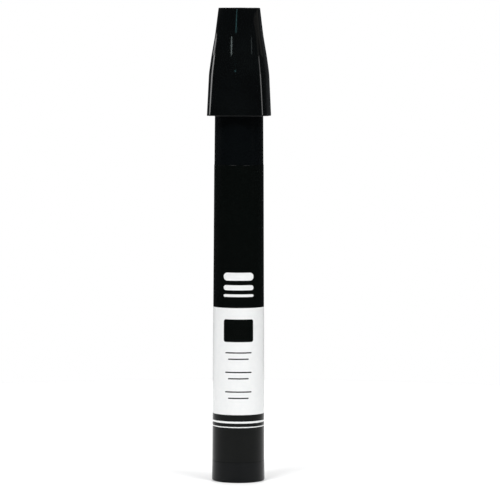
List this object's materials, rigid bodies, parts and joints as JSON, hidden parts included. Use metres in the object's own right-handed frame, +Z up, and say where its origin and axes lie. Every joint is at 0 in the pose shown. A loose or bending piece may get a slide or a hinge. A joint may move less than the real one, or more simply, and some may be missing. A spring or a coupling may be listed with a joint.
{
  "type": "art marker",
  "caption": "Round felt-nib art marker with a printed film label, a pull-off flared four-cornered cap, a slanted wedge nib and an ink rod inside its barrel.",
  "frame": {"origin": "centre of the marker's foot, on the surface it stands on", "axes": "+Z up the marker's axis towards the cap, -Y towards the side with the label panel, +X to the right of it"},
  "size_m": [0.0204, 0.0204, 0.15],
  "materials": {
    "barrel_plastic": "satin black",
    "label_film": "semi-gloss printed film, black with a white panel",
    "plug_plastic": "matt black",
    "ink_fibre": "ink-soaked fibre",
    "sleeve_film": "thin clear-white film",
    "holder_plastic": "satin black",
    "nib_felt": "ink-soaked felt",
    "cap_plastic": "glossy black",
    "liner_plastic": "natural soft plastic"
  },
  "bodies": {
    "barrel": {"barrel": "barrel_plastic", "label_wrap": "label_film", "end_plug": "plug_plastic", "ink_reservoir": "ink_fibre", "reservoir_wrapper": "sleeve_film", "nib_holder": "holder_plastic", "nib": "nib_felt"},
    "cap": {"cap_shell": "cap_plastic", "cap_liner": "liner_plastic"}
  },
  "joints": [
    {"name": "cap_pull", "type": "slide", "parent": "barrel", "child": "cap", "axis": [0, 0, 1], "range_m": [0, 0.045]}
  ]
}
